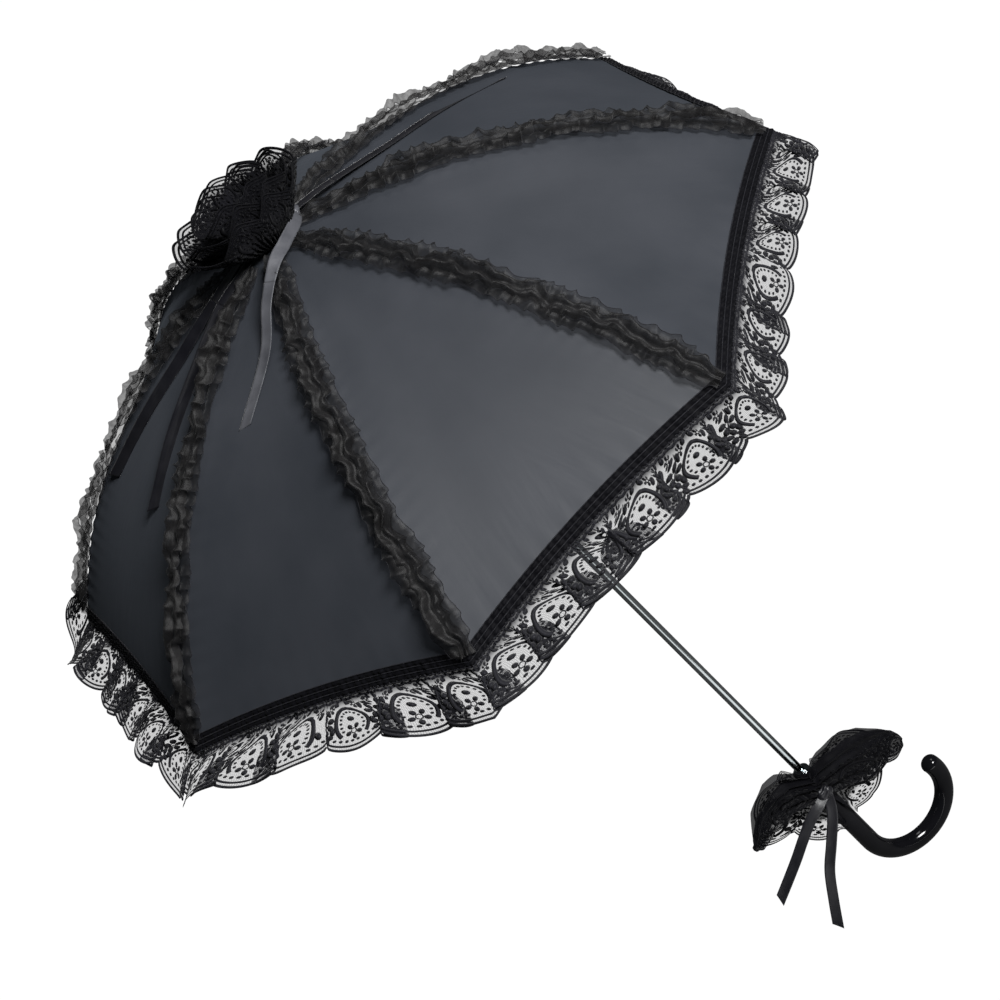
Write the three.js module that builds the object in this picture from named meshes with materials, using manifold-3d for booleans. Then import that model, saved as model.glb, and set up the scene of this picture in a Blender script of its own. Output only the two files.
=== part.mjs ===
// A lace parasol, standing open: a steel shaft with a crook handle, eight folding ribs on a
// notch ring, eight stretchers, a sliding runner with two spring catches, a satin canopy in
// eight sectors, a gathered lace hem, and the bows and ribbons that trim it.
// Millimetres, +Z from the handle towards the ferrule, the crook opens towards +X.
// The origin is the middle of the hand's grip, on the handle's axis.
import * as THREE from "three";
import { mergeVertices } from "three/addons/utils/BufferGeometryUtils.js";
import Module from "manifold-3d";

const wasm = await Module();
wasm.setup();

// ---------------------------------------------------------------- driving sizes
const RIBS = 8;
const SECTOR = (2 * Math.PI) / RIBS;
const FIRST_RIB = SECTOR / 2; // azimuth of rib_1
const GAP = 0.35; // room between pieces that don't touch

const APEX_Z = 840; // height of the rib hinges over the grip
const HINGE_R = 8.5; // rib hinges to the shaft's axis
const TIP_R = 350; // rib tips to the axis, open
const DROP = 182; // rib tips below the hinges, open
const START_SLOPE = (4.1 * Math.PI) / 180; // slope of a rib where it leaves the notch

const TUBE_R = 4; // shaft
const TUBE_BORE_R = 3.4;
const TUBE_LOW_Z = 58;
const TUBE_TOP_Z = APEX_Z + 16;

const RUNNER_DROP = 120; // runner pivots below the rib hinges, open
const RUNNER_PIVOT_R = 11.3;
const RUNNER_BORE_R = 4.4;
const RUNNER_TOP = 5; // over its pivots
const RUNNER_FOOT = 39; // under its pivots
const RUNNER_TRAVEL = 193.1; // how far it slides down to fold the parasol
const CATCH_GROOVE_R = 6.6;

const PIN_ALONG = 165; // stretcher pin from the hinge, along the rib
const PIN_BELOW = 3.2; // pin centre under the rib's own centreline

const CLOTH_UNDER = 2.6; // canopy's underside over the rib's centreline
const CLOTH_TOP = 4.0; // canopy's upper side over the rib's centreline
const CLOTH_INNER_R = 14;
const RUFFLE_HALF = 10; // organza ruffle on each rib
const RUFFLE_HIGH = 8;

const LACE_BAND = 12; // gathered band over the hem
const LACE_WIDE = 45; // lace beyond the hem
const LACE_UNDER = CLOTH_TOP + 0.4;
const LACE_TOP = CLOTH_TOP + 1.6;
const LACE_WAVES = 7; // ruffle waves in one sector
const LACE_WAVE = 5; // height of a wave at the free edge

const RIBBON_WIDE = 10.3;
const RIBBON_THICK = 1.1;

const HANDLE_R = 9.2;
const HANDLE_TOP_Z = 75;
const CROOK_R = 46.5;
const CROOK_Z = -46; // centre of the crook's bend
const CROOK_TURN = (192 * Math.PI) / 180; // how far the crook bends round, before its rounded end
const BOW_Z = 52;

// ---------------------------------------------------------------- solids
const vec = (x, y, z) => new THREE.Vector3(x, y, z);
const points2 = (pairs) => pairs.map(([x, y]) => new THREE.Vector2(x, y));

// Turns the faces of a closed mesh outwards.
function outward(position, index) {
  let volume = 0;
  const p = (i) => vec(position[3 * i], position[3 * i + 1], position[3 * i + 2]);
  for (let i = 0; i < index.length; i += 3) volume += p(index[i]).dot(p(index[i + 1]).cross(p(index[i + 2])));
  if (volume < 0) for (let i = 0; i < index.length; i += 3) [index[i], index[i + 1]] = [index[i + 1], index[i]];
  return index;
}

function toSolid(geometry) {
  const plain = geometry.index ? geometry.toNonIndexed() : geometry;
  const bare = new THREE.BufferGeometry().setAttribute("position", plain.getAttribute("position"));
  const merged = mergeVertices(bare, 1e-4);
  const position = merged.getAttribute("position").array;
  return new wasm.Manifold(
    new wasm.Mesh({
      numProp: 3,
      vertProperties: new Float32Array(position),
      triVerts: new Uint32Array(outward(position, [...merged.index.array])),
    }),
  );
}

function toGeometry(solid) {
  const mesh = solid.getMesh();
  const geometry = new THREE.BufferGeometry();
  geometry.setAttribute("position", new THREE.BufferAttribute(new Float32Array(mesh.vertProperties), 3));
  geometry.setIndex(new THREE.BufferAttribute(new Uint32Array(mesh.triVerts), 1));
  return geometry;
}

const box = (dx, dy, dz, x = 0, y = 0, z = 0) => toSolid(new THREE.BoxGeometry(dx, dy, dz).translate(x, y, z));
const turned = (points, segments = 28) =>
  toSolid(new THREE.LatheGeometry(points2([...points, points[0]]), segments).rotateX(Math.PI / 2));
const disc = (radius, thick, x, z, segments = 12) =>
  toSolid(new THREE.CylinderGeometry(radius, radius, thick, segments).translate(x, 0, z));

// A closed solid through rings of points, all rings with the same count, with a flat cap at each end.
function loft(rings, profile) {
  const count = rings[0].length;
  const position = rings.flat().flatMap((p) => [p.x, p.y, p.z]);
  const index = [];
  for (let i = 0; i + 1 < rings.length; i++)
    for (let j = 0; j < count; j++) {
      const a = i * count + j;
      const b = i * count + ((j + 1) % count);
      index.push(a, b, b + count, a, b + count, a + count);
    }
  const last = (rings.length - 1) * count;
  const swap = THREE.ShapeUtils.isClockWise(profile);
  for (const [a, q, r] of THREE.ShapeUtils.triangulateShape(profile, [])) {
    const [b, c] = swap ? [r, q] : [q, r];
    index.push(a, c, b, last + a, last + b, last + c);
  }
  return indexed(position, index);
}

// A closed skin between an outer and an inner grid of points.
function shell(outer, inner) {
  const rows = outer.length;
  const cols = outer[0].length;
  const position = [...outer.flat(), ...inner.flat()].flatMap((p) => [p.x, p.y, p.z]);
  const index = [];
  const at = (side, i, j) => side * rows * cols + i * cols + j;
  const quad = (a, b, c, d) => index.push(a, b, c, a, c, d);
  for (let i = 0; i + 1 < rows; i++)
    for (let j = 0; j + 1 < cols; j++) {
      quad(at(0, i, j), at(0, i + 1, j), at(0, i + 1, j + 1), at(0, i, j + 1));
      quad(at(1, i, j), at(1, i, j + 1), at(1, i + 1, j + 1), at(1, i + 1, j));
    }
  for (let i = 0; i + 1 < rows; i++) {
    quad(at(0, i, 0), at(1, i, 0), at(1, i + 1, 0), at(0, i + 1, 0));
    quad(at(0, i, cols - 1), at(0, i + 1, cols - 1), at(1, i + 1, cols - 1), at(1, i, cols - 1));
  }
  for (let j = 0; j + 1 < cols; j++) {
    quad(at(0, 0, j), at(0, 0, j + 1), at(1, 0, j + 1), at(1, 0, j));
    quad(at(0, rows - 1, j), at(1, rows - 1, j), at(1, rows - 1, j + 1), at(0, rows - 1, j + 1));
  }
  return indexed(position, index);
}

function indexed(position, index) {
  const geometry = new THREE.BufferGeometry();
  geometry.setAttribute("position", new THREE.Float32BufferAttribute(position, 3));
  geometry.setIndex(index);
  return geometry;
}

// ---------------------------------------------------------------- the rib's arc
// A rib lies in the plane of its azimuth; here x is the distance from the shaft's axis and z is
// the height over the hinges. `along` is the length along the rib from its hinge.
const CHORD = Math.hypot(TIP_R - HINGE_R, DROP);
const TURN = 2 * (Math.atan2(DROP, TIP_R - HINGE_R) - START_SLOPE);
const ARC_R = CHORD / (2 * Math.sin(TURN / 2));
const RIB_LONG = ARC_R * TURN;

function ribPoint(along, off = 0) {
  const slope = START_SLOPE + along / ARC_R;
  return {
    x: HINGE_R + ARC_R * (Math.sin(slope) - Math.sin(START_SLOPE)) + off * Math.sin(slope),
    z: -ARC_R * (Math.cos(START_SLOPE) - Math.cos(slope)) + off * Math.cos(slope),
    slope,
  };
}

function alongRib(profile, from, to, steps) {
  const rings = [];
  for (let i = 0; i <= steps; i++) {
    const along = from + ((to - from) * i) / steps;
    rings.push(profile.map((q) => ribPoint(along, q.y)).map((p, j) => vec(p.x, profile[j].x, p.z)));
  }
  return loft(rings, profile);
}

// An open channel with its mouth down: half width, half height, wall.
const channel = (w, h, wall) =>
  points2([
    [-w, -h],
    [-w + wall, -h],
    [-w + wall, h - wall],
    [w - wall, h - wall],
    [w - wall, -h],
    [w, -h],
    [w, h],
    [-w, h],
  ]);
const plate = (w, h) =>
  points2([
    [-w, -h],
    [w, -h],
    [w, h],
    [-w, h],
  ]);

const pin = (() => {
  const p = ribPoint(PIN_ALONG, -PIN_BELOW);
  return { x: p.x, z: p.z };
})();
const runnerEnd = { x: RUNNER_PIVOT_R, z: -RUNNER_DROP };

function makeRib() {
  const tongue = toSolid(alongRib(plate(0.9, 1.2), 0, 14, 2));
  const body = toSolid(alongRib(channel(1.7, 1.5, 0.7), 9, RIB_LONG, 9));
  let rib = body.add(tongue).add(disc(2.2, 1.8, HINGE_R, 0));
  for (const side of [-1, 1]) {
    const ear = new THREE.CylinderGeometry(2.6, 2.6, 0.7, 10).translate(pin.x, side * 1.35, pin.z);
    rib = rib.add(toSolid(ear));
  }
  rib = rib.add(disc(0.9, 4.4, pin.x, pin.z, 8));
  return rib.subtract(disc(1.0, 6, HINGE_R, 0, 10));
}

// The tip: a ball beyond the rib's end, on a stem that sits in the channel.
function makeTip() {
  const end = ribPoint(RIB_LONG + 2.6);
  const ball = toSolid(new THREE.SphereGeometry(2.2, 8, 6).translate(end.x, 0, end.z));
  const stem = points2([
    [-0.65, -1.4],
    [0.65, -1.4],
    [0.65, 0.4],
    [-0.65, 0.4],
  ]);
  return ball.add(toSolid(alongRib(stem, RIB_LONG - 6, RIB_LONG + 2.4, 1)));
}

// A stretcher, from its eye on the rib's pin to the open eye at the runner.
function makeStretcher() {
  const dx = runnerEnd.x - pin.x;
  const dz = runnerEnd.z - pin.z;
  const long = Math.hypot(dx, dz);
  const straight = (profile, from, to) => {
    const ring = (s) => profile.map((q) => vec(-s, q.x, q.y));
    return toSolid(loft([ring(from), ring(to)], profile));
  };
  let bar = straight(channel(1.4, 1.2, 0.6), 5.5, long - 10);
  bar = bar.add(straight(plate(0.65, 0.9), 0, 9)).add(disc(2.3, 1.3, 0, 0));
  bar = bar.add(straight(plate(0.8, 0.9), long - 14, long)).add(disc(1.2, 1.6, -long, 0, 8));
  bar = bar.subtract(disc(1.3, 4, 0, 0, 10));
  const turn = (Math.atan2(-dz, -dx) * 180) / Math.PI;
  return bar.rotate([0, -turn, 0]).translate([pin.x, 0, pin.z]);
}

// ---------------------------------------------------------------- canopy and lace
// Across a sector the cloth is stretched flat from rib to rib, so its plan is an octagon.
// `side` runs from -1 to 1 between the two seams of a sector, each half way between two ribs.
const FLAT_X = 1 - Math.cos(SECTOR / 2) ** 2;
const FLAT_Y = Math.cos(SECTOR / 2) * Math.sin(SECTOR / 2);
const halfWidth = (r) => r * FLAT_Y;

function clothPoint(along, off, side) {
  const p = ribPoint(along, off);
  const clear = 1 - (0.5 * GAP) / Math.cos(SECTOR / 2) / halfWidth(p.x);
  const s = side * clear;
  return vec(p.x * (1 - FLAT_X * Math.abs(s)), p.x * FLAT_Y * s, p.z);
}

// The hem curves in a little between two rib tips.
const HEM_SAG = 8;
const hemAlong = (side) => RIB_LONG - HEM_SAG * (1 - (1 - Math.abs(side)) ** 2);

function makeCanopy() {
  const inner = CLOTH_INNER_R - HINGE_R;
  const rise = [25, 55];
  const fall = [RIB_LONG - 45, RIB_LONG - LACE_BAND - 12];
  const rows = [inner, ...rise, 100, 145, 190, 235, 280, 320, ...fall, RIB_LONG];
  const grid = (top) =>
    rows.map((rowAlong) => {
      const width = halfWidth(ribPoint(rowAlong).x);
      const near = Math.min(RUFFLE_HALF, 0.55 * width) / width;
      return [-1, -(1 + near) / 2, -near, -near / 2, 0, near / 2, near, (1 + near) / 2, 1].map((side) => {
        const along = rowAlong - (RIB_LONG - hemAlong(side)) * (rowAlong / RIB_LONG) ** 3;
        const ruffled = rowAlong > rise[0] && rowAlong < fall[1];
        const bump = top && ruffled ? RUFFLE_HIGH * Math.max(0, 1 - (Math.abs(side) / near) ** 1.5) : 0;
        return clothPoint(along, (top ? CLOTH_TOP : CLOTH_UNDER) + bump, side);
      });
    });
  return toSolid(shell(grid(true), grid(false)));
}

// The lace of one sector: its gathered band lies on the hem, and its free edge flares in waves.
function makeLace() {
  const across = [-LACE_BAND, 0, LACE_WIDE];
  const steps = 4 * LACE_WAVES;
  const grid = (off) =>
    across.map((w) => {
      const row = [];
      for (let j = 0; j <= steps; j++) {
        const side = (2 * j) / steps - 1;
        const rise = LACE_WAVE * Math.max(0, w / LACE_WIDE);
        const wave = rise * (1 + Math.sin(Math.PI * LACE_WAVES * (side + 1)));
        row.push(clothPoint(hemAlong(side) + w, off + wave, side));
      }
      return row;
    });
  return toSolid(shell(grid(LACE_TOP), grid(LACE_UNDER)));
}

// A ribbon tail laid on the canopy: from and to are [azimuth in degrees, distance from the axis].
function makeTail(from, to) {
  const end = ([azimuth, r]) => vec(r, 0, 0).applyAxisAngle(vec(0, 0, 1), (azimuth * Math.PI) / 180);
  const [a, b] = [end(from), end(to)];
  const across = b.clone().sub(a).normalize().cross(vec(0, 0, 1)).multiplyScalar(RIBBON_WIDE / 2);
  const lie = (p, off) => {
    const azimuth = Math.atan2(p.y, p.x);
    const near = Math.round((azimuth - FIRST_RIB) / SECTOR) * SECTOR + FIRST_RIB;
    const q = p.clone().applyAxisAngle(vec(0, 0, 1), -near);
    const reach = q.x + Math.abs(q.y) * Math.tan(SECTOR / 2);
    let along = reach - HINGE_R;
    for (let i = 0; i < 20; i++) along += reach - ribPoint(along, off).x;
    return vec(p.x, p.y, ribPoint(along, off).z);
  };
  const steps = 6;
  const grid = (off) => {
    const out = [];
    for (let i = 0; i <= steps; i++) {
      const p = a.clone().lerp(b, i / steps);
      out.push([-1, 0, 1].map((s) => lie(p.clone().addScaledVector(across, s), off)));
    }
    return out;
  };
  return toSolid(shell(grid(CLOTH_TOP + 0.6 + RIBBON_THICK), grid(CLOTH_TOP + 0.6)));
}

// ---------------------------------------------------------------- shaft, notch and runner
const runnerZ = APEX_Z - RUNNER_DROP;
const topCatchZ = runnerZ - RUNNER_FOOT - 0.8; // face that holds the open runner up
const lowCatchZ = runnerZ - RUNNER_TRAVEL + RUNNER_TOP + 0.8; // face that holds the folded runner down
const stopZ = runnerZ + RUNNER_TOP + 1.6;
const CATCH_LONG = 31;
const CATCH_PIVOT = 29;
const CATCH_NOSE_R = 6;

function makeTube() {
  let tube = turned([
    [TUBE_BORE_R, TUBE_LOW_Z],
    [TUBE_R, TUBE_LOW_Z],
    [TUBE_R, TUBE_TOP_Z],
    [TUBE_BORE_R, TUBE_TOP_Z],
  ]);
  for (const [z, way] of [
    [topCatchZ, -1],
    [lowCatchZ, 1],
  ])
    tube = tube.subtract(box(2.4, 4, CATCH_LONG + 1.5, 0, -4, z + way * (CATCH_LONG / 2 - 1.5)));
  return tube.subtract(toSolid(new THREE.CylinderGeometry(1.25, 1.25, 12, 14).rotateZ(Math.PI / 2).translate(0, 0, stopZ)));
}

// A leaf catch inside the tube, with a nose through the slot. `way` is where its pivot lies from the face.
function makeCatch(faceZ, way) {
  const outline = points2([
    [-0.4, 0],
    [-CATCH_NOSE_R, 0],
    [-CATCH_NOSE_R, 2],
    [-2.9, 19],
    [-2.9, CATCH_LONG],
    [-0.4, CATCH_LONG],
  ]);
  const ring = (x) => outline.map((q) => vec(x, q.x, faceZ + way * q.y));
  return toSolid(loft([ring(-0.8), ring(0.8)], outline));
}

function makeNotch() {
  let hub = turned([
    [4.35, -4.5],
    [10.6, -4.5],
    [11.5, -3.6],
    [11.5, 3.6],
    [10.6, 4.5],
    [4.35, 4.5],
  ]);
  hub = hub.subtract(
    turned([
      [7.5, -0.95],
      [9.5, -0.95],
      [9.5, 6],
      [7.5, 6],
    ]),
  );
  for (let k = 0; k < RIBS; k++)
    hub = hub.subtract(box(8, 2.6, 12, 6.2 + 4, 0, 0).rotate([0, 0, 22.5 + 45 * k]));
  return hub.translate([0, 0, APEX_Z]);
}

function makeRunner() {
  let runner = turned([
    [RUNNER_BORE_R, RUNNER_TOP],
    [12.7, RUNNER_TOP],
    [13.5, 4],
    [13.5, -4],
    [12.5, -5],
    [7.8, -6.5],
    [7.8, -31],
    [10, -33.5],
    [10, -38],
    [9, -RUNNER_FOOT],
    [RUNNER_BORE_R, -RUNNER_FOOT],
  ]);
  runner = runner.subtract(
    turned([
      [8.1, -0.9],
      [9.7, -0.9],
      [9.7, 6],
      [8.1, 6],
    ]),
  );
  for (let k = 0; k < RIBS; k++)
    runner = runner.subtract(box(8, 2.4, 14, 8 + 4, 0, 0).rotate([0, 0, 22.5 + 45 * k]));
  const groove = box(2.6, CATCH_GROOVE_R - 3, 60, 0, -(CATCH_GROOVE_R + 3) / 2, -20);
  return runner.subtract(groove).translate([0, 0, runnerZ]);
}

const ringWire = (radius, z, thick) =>
  toSolid(new THREE.TorusGeometry(radius, thick, 6, 24).translate(0, 0, z));

function makeFerrule() {
  return turned([
    [4.3, 5.0],
    [11.5, 5.0],
    [11.5, 5.6],
    [6, 5.8],
    [5.6, 8],
    [5.6, 26],
    [4.6, 29.5],
    [2.2, 31],
    [0, 31.4],
    [0, 17],
    [4.3, 17],
  ]).translate([0, 0, APEX_Z]);
}

// ---------------------------------------------------------------- handle and trimmings
const circle = (radius, count) =>
  Array.from({ length: count }, (_, i) => {
    const a = (2 * Math.PI * i) / count;
    return new THREE.Vector2(radius * Math.cos(a), radius * Math.sin(a));
  });

function makeHandle() {
  const rings = [];
  const outline = circle(HANDLE_R, 18);
  const ring = (x, z, turn, scale = 1) =>
    outline.map((q) => vec(x + scale * q.x * Math.cos(turn), scale * q.y, z + scale * q.x * Math.sin(turn)));
  rings.push(ring(0, HANDLE_TOP_Z, 0, 0.9), ring(0, HANDLE_TOP_Z - 1.5, 0), ring(0, 15, 0));
  const bend = 15;
  for (let i = 0; i <= bend; i++) {
    const a = (CROOK_TURN * i) / bend;
    rings.push(ring(CROOK_R - CROOK_R * Math.cos(a), CROOK_Z - CROOK_R * Math.sin(a), a));
  }
  const end = vec(CROOK_R - CROOK_R * Math.cos(CROOK_TURN), 0, CROOK_Z - CROOK_R * Math.sin(CROOK_TURN));
  const onward = vec(Math.sin(CROOK_TURN), 0, -Math.cos(CROOK_TURN));
  for (const a of [20, 40, 60, 78]) {
    const t = (a * Math.PI) / 180;
    const p = end.clone().addScaledVector(onward, 0.75 * HANDLE_R * Math.sin(t));
    rings.push(ring(p.x, p.z, CROOK_TURN, Math.cos(t)));
  }
  const body = toSolid(loft(rings, outline));
  return body.subtract(disc(4.4, 24, 0, 0, 20).rotate([90, 0, 0]).translate([0, 0, HANDLE_TOP_Z - 7]));
}

const makeCollar = () =>
  turned([
    [4.4, HANDLE_TOP_Z + 0.4],
    [8.6, HANDLE_TOP_Z + 0.4],
    [8.6, HANDLE_TOP_Z + 2.6],
    [6, HANDLE_TOP_Z + 5],
    [4.4, HANDLE_TOP_Z + 5],
  ]);

// The lace bow: a wrapped ring round the handle and two spread lobes, the crook's side lower.
function makeLaceBow() {
  const lobe = (pairs) => {
    const outline = points2(pairs);
    const ring = (y, shrink) => outline.map((q) => vec(q.x, y, BOW_Z + q.y * shrink));
    return toSolid(loft([ring(-9, 0.7), ring(-5, 1), ring(0, 1), ring(4, 0.7)], outline));
  };
  const right = lobe([
    [4, -34],
    [12, -60],
    [31, -55],
    [52, -52],
    [70, -46],
    [84, -23],
    [80, 4],
    [64, 17],
    [44, 27],
    [22, 29],
    [4, 24],
  ]);
  const left = lobe([
    [-4, 36],
    [-20, 46],
    [-37, 49],
    [-61, 36],
    [-77, 20],
    [-73, 2],
    [-58, -12],
    [-43, -24],
    [-28, -50],
    [-8, -56],
    [-4, -34],
  ]);
  const wrap = turned(
    [
      [4, BOW_Z - 8],
      [12.5, BOW_Z - 8],
      [12.5, BOW_Z + 8],
      [4, BOW_Z + 8],
    ],
    24,
  );
  return right.add(left).add(wrap).subtract(disc(HANDLE_R + GAP, 140, 0, 0, 24).rotate([90, 0, 0]).translate([0, 0, BOW_Z]));
}

// The satin knot on the front of the bow, with two hanging tails.
function makeHandleRibbon() {
  const knot = toSolid(new THREE.SphereGeometry(1, 12, 8).scale(9, 4.4, 7.5).translate(0, -17.4, BOW_Z));
  const tail = (stops) => {
    const path = new THREE.CatmullRomCurve3(stops.map((p) => vec(...p)));
    const rings = [];
    const outline = plate(RIBBON_WIDE / 2, RIBBON_THICK / 2);
    for (let i = 0; i <= 8; i++) {
      const p = path.getPointAt(i / 8);
      const along = path.getTangentAt(i / 8);
      const side = along.clone().cross(vec(0, -1, 0)).normalize();
      const up = side.clone().cross(along).normalize();
      rings.push(outline.map((q) => p.clone().addScaledVector(side, q.x).addScaledVector(up, q.y)));
    }
    return toSolid(loft(rings, outline));
  };
  const long = tail([
    [1, -17.5, BOW_Z - 2],
    [-13, -22, BOW_Z - 24],
    [-49, -24, BOW_Z - 64],
    [-81, -27, BOW_Z - 117],
  ]);
  const short = tail([
    [-3, -17.5, BOW_Z - 1],
    [-28, -21, BOW_Z - 5],
    [-63, -22, BOW_Z - 24],
    [-102, -22, BOW_Z - 45],
  ]);
  return knot.add(long).add(short);
}

// The lace rosette stands round the ferrule like an open flower.
const makeRosette = () =>
  turned(
    [
      [7.2, 6.2],
      [11, 6.2],
      [17, 15.5],
      [32, 22],
      [54, 35],
      [62, 44],
      [57, 54],
      [38, 60],
      [18, 54],
      [7.2, 44],
    ],
    20,
  ).translate([0, 0, APEX_Z]);

const makeCrownKnot = () =>
  toSolid(
    new THREE.SphereGeometry(1, 12, 8).scale(9, 10, 3.4).rotateZ(-0.1).translate(26, -4, APEX_Z + 8.6),
  );

// ---------------------------------------------------------------- assembly
const COLOURS = {
  steel: [0x8d9399, 0.9, 0.3],
  black: [0x0d0d0f, 0.0, 0.25],
  satin: [0x2c3036, 0.0, 0.5],
  lace: [0x15151b, 0.0, 0.8],
};
const root = new THREE.Group();

function add(name, solid, kind) {
  const [color, metalness, roughness] = COLOURS[kind];
  const mesh = new THREE.Mesh(toGeometry(solid), new THREE.MeshStandardMaterial({ color, metalness, roughness }));
  mesh.name = name;
  root.add(mesh);
}

add("shaft_tube", makeTube(), "steel");
add("ferrule", makeFerrule(), "black");
add("top_notch", makeNotch(), "black");
add("notch_wire", ringWire(HINGE_R, APEX_Z, 0.55), "steel");
add("runner", makeRunner(), "black");
add("runner_wire", ringWire(8.9, runnerZ, 0.5), "steel");
add("top_catch", makeCatch(topCatchZ, -1), "steel");
add("bottom_catch", makeCatch(lowCatchZ, 1), "steel");
add("travel_stop", toSolid(new THREE.CylinderGeometry(0.9, 0.9, 12.4, 12).rotateZ(Math.PI / 2).translate(0, 0, stopZ)), "steel");
add("handle_crook", makeHandle(), "black");
add("handle_collar", makeCollar(), "steel");
add("handle_lace_bow", makeLaceBow(), "lace");
add("handle_ribbon", makeHandleRibbon(), "satin");
add("crown_rosette", makeRosette(), "lace");
add("crown_ribbon", makeCrownKnot(), "satin");

const sectorParts = [
  ["rib", makeRib(), "steel"],
  ["rib_tip", makeTip(), "steel"],
  ["stretcher", makeStretcher(), "steel"],
  ["canopy", makeCanopy(), "satin"],
  ["lace_hem", makeLace(), "lace"],
];
for (let k = 0; k < RIBS; k++)
  for (const [name, solid, kind] of sectorParts) {
    const azimuth = ((FIRST_RIB + k * SECTOR) * 180) / Math.PI;
    add(`${name}_${k + 1}`, solid.rotate([0, 0, azimuth]).translate([0, 0, APEX_Z]), kind);
  }

// Where each satin tail of the crown lies: [azimuth, distance from the axis] at both ends.
const TAILS = [
  [[-128, 60], [-140.5, 152]],
  [[-172, 62], [-175, 214]],
  [[174.5, 62], [162.3, 229]],
  [[4, 62], [18.3, 244]],
];
TAILS.forEach(([from, to], i) =>
  add(`ribbon_tail_${i + 1}`, makeTail(from, to).translate([0, 0, APEX_Z]), "satin"),
);

export default root;
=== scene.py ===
"""A black lace parasol standing open: satin canopy, organza ruffles, gathered lace hem, lace
rosette and bow, satin ribbons, steel shaft and glossy crook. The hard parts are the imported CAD
nodes with better materials. Shapes are worked out in millimetres and stored in metres."""
import math

import bmesh
import bpy
import numpy as np
from mathutils import Matrix, Vector


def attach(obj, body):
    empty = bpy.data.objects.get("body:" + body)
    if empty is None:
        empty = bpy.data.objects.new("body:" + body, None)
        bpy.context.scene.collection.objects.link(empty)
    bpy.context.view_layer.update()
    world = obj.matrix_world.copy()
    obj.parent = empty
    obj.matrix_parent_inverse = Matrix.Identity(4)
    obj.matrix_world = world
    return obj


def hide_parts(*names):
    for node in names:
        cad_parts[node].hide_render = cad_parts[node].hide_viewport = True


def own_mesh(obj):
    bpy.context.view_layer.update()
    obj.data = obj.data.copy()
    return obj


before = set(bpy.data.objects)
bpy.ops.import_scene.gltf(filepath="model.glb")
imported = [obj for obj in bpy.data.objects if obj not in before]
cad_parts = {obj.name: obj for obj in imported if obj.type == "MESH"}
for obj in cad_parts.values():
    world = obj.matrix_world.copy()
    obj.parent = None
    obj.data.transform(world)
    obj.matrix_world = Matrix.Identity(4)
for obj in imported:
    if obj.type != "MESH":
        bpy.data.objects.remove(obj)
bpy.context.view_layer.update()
PI = math.pi
MM = 0.001

# ------------------------------------------------------------------ sizes shared with the CAD, mm
RIBS = 8
SECTOR = 2 * PI / RIBS
APEX_Z = 840.0  # height of the rib hinges
HINGE_R = 8.5
TIP_R = 350.0
DROP = 182.0
START_SLOPE = math.radians(4.1)
CHORD = math.hypot(TIP_R - HINGE_R, DROP)
TURN = 2 * (math.atan2(DROP, TIP_R - HINGE_R) - START_SLOPE)
ARC_R = CHORD / (2 * math.sin(TURN / 2))
RIB_LONG = ARC_R * TURN
FLAT_X = 1 - math.cos(SECTOR / 2) ** 2
FLAT_Y = math.cos(SECTOR / 2) * math.sin(SECTOR / 2)
HEM_SAG = 8.0
CLOTH_OFF = 3.6  # upper side of the cloth over a rib's centreline
BOW_Z = 52.0
HANDLE_R = 9.2
HANDLE_TOP_Z = 75.0
CROOK_R = 46.5
CROOK_Z = -46.0
CROOK_TURN = math.radians(192)
RIBBON_WIDE = 10.3


# ------------------------------------------------------------------ camera
def make_camera():
    """Looks down on the open parasol from its front, turned so that the shaft runs to lower right."""
    azimuth, height, roll = math.radians(-3.535), math.radians(33.174), -0.79
    back = Vector(
        (math.sin(azimuth) * math.cos(height), -math.cos(azimuth) * math.cos(height), math.sin(height))
    )
    level = Vector((0, 0, 1)).cross(back).normalized()
    upward = back.cross(level)
    right = math.cos(roll) * level + math.sin(roll) * upward
    up = math.cos(roll) * upward - math.sin(roll) * level
    apex = Vector((0, 0, APEX_Z * MM))
    data = bpy.data.cameras.new("camera")
    data.lens = 97.72
    data.clip_end = 50
    camera = bpy.data.objects.new("camera", data)
    turn = Matrix((right, up, back)).transposed().to_4x4()
    camera.matrix_world = Matrix.Translation(apex + 2.1 * back + 0.1743 * right - 0.1981 * up) @ turn
    bpy.context.scene.collection.objects.link(camera)
    bpy.context.scene.camera = camera


make_camera()


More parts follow.
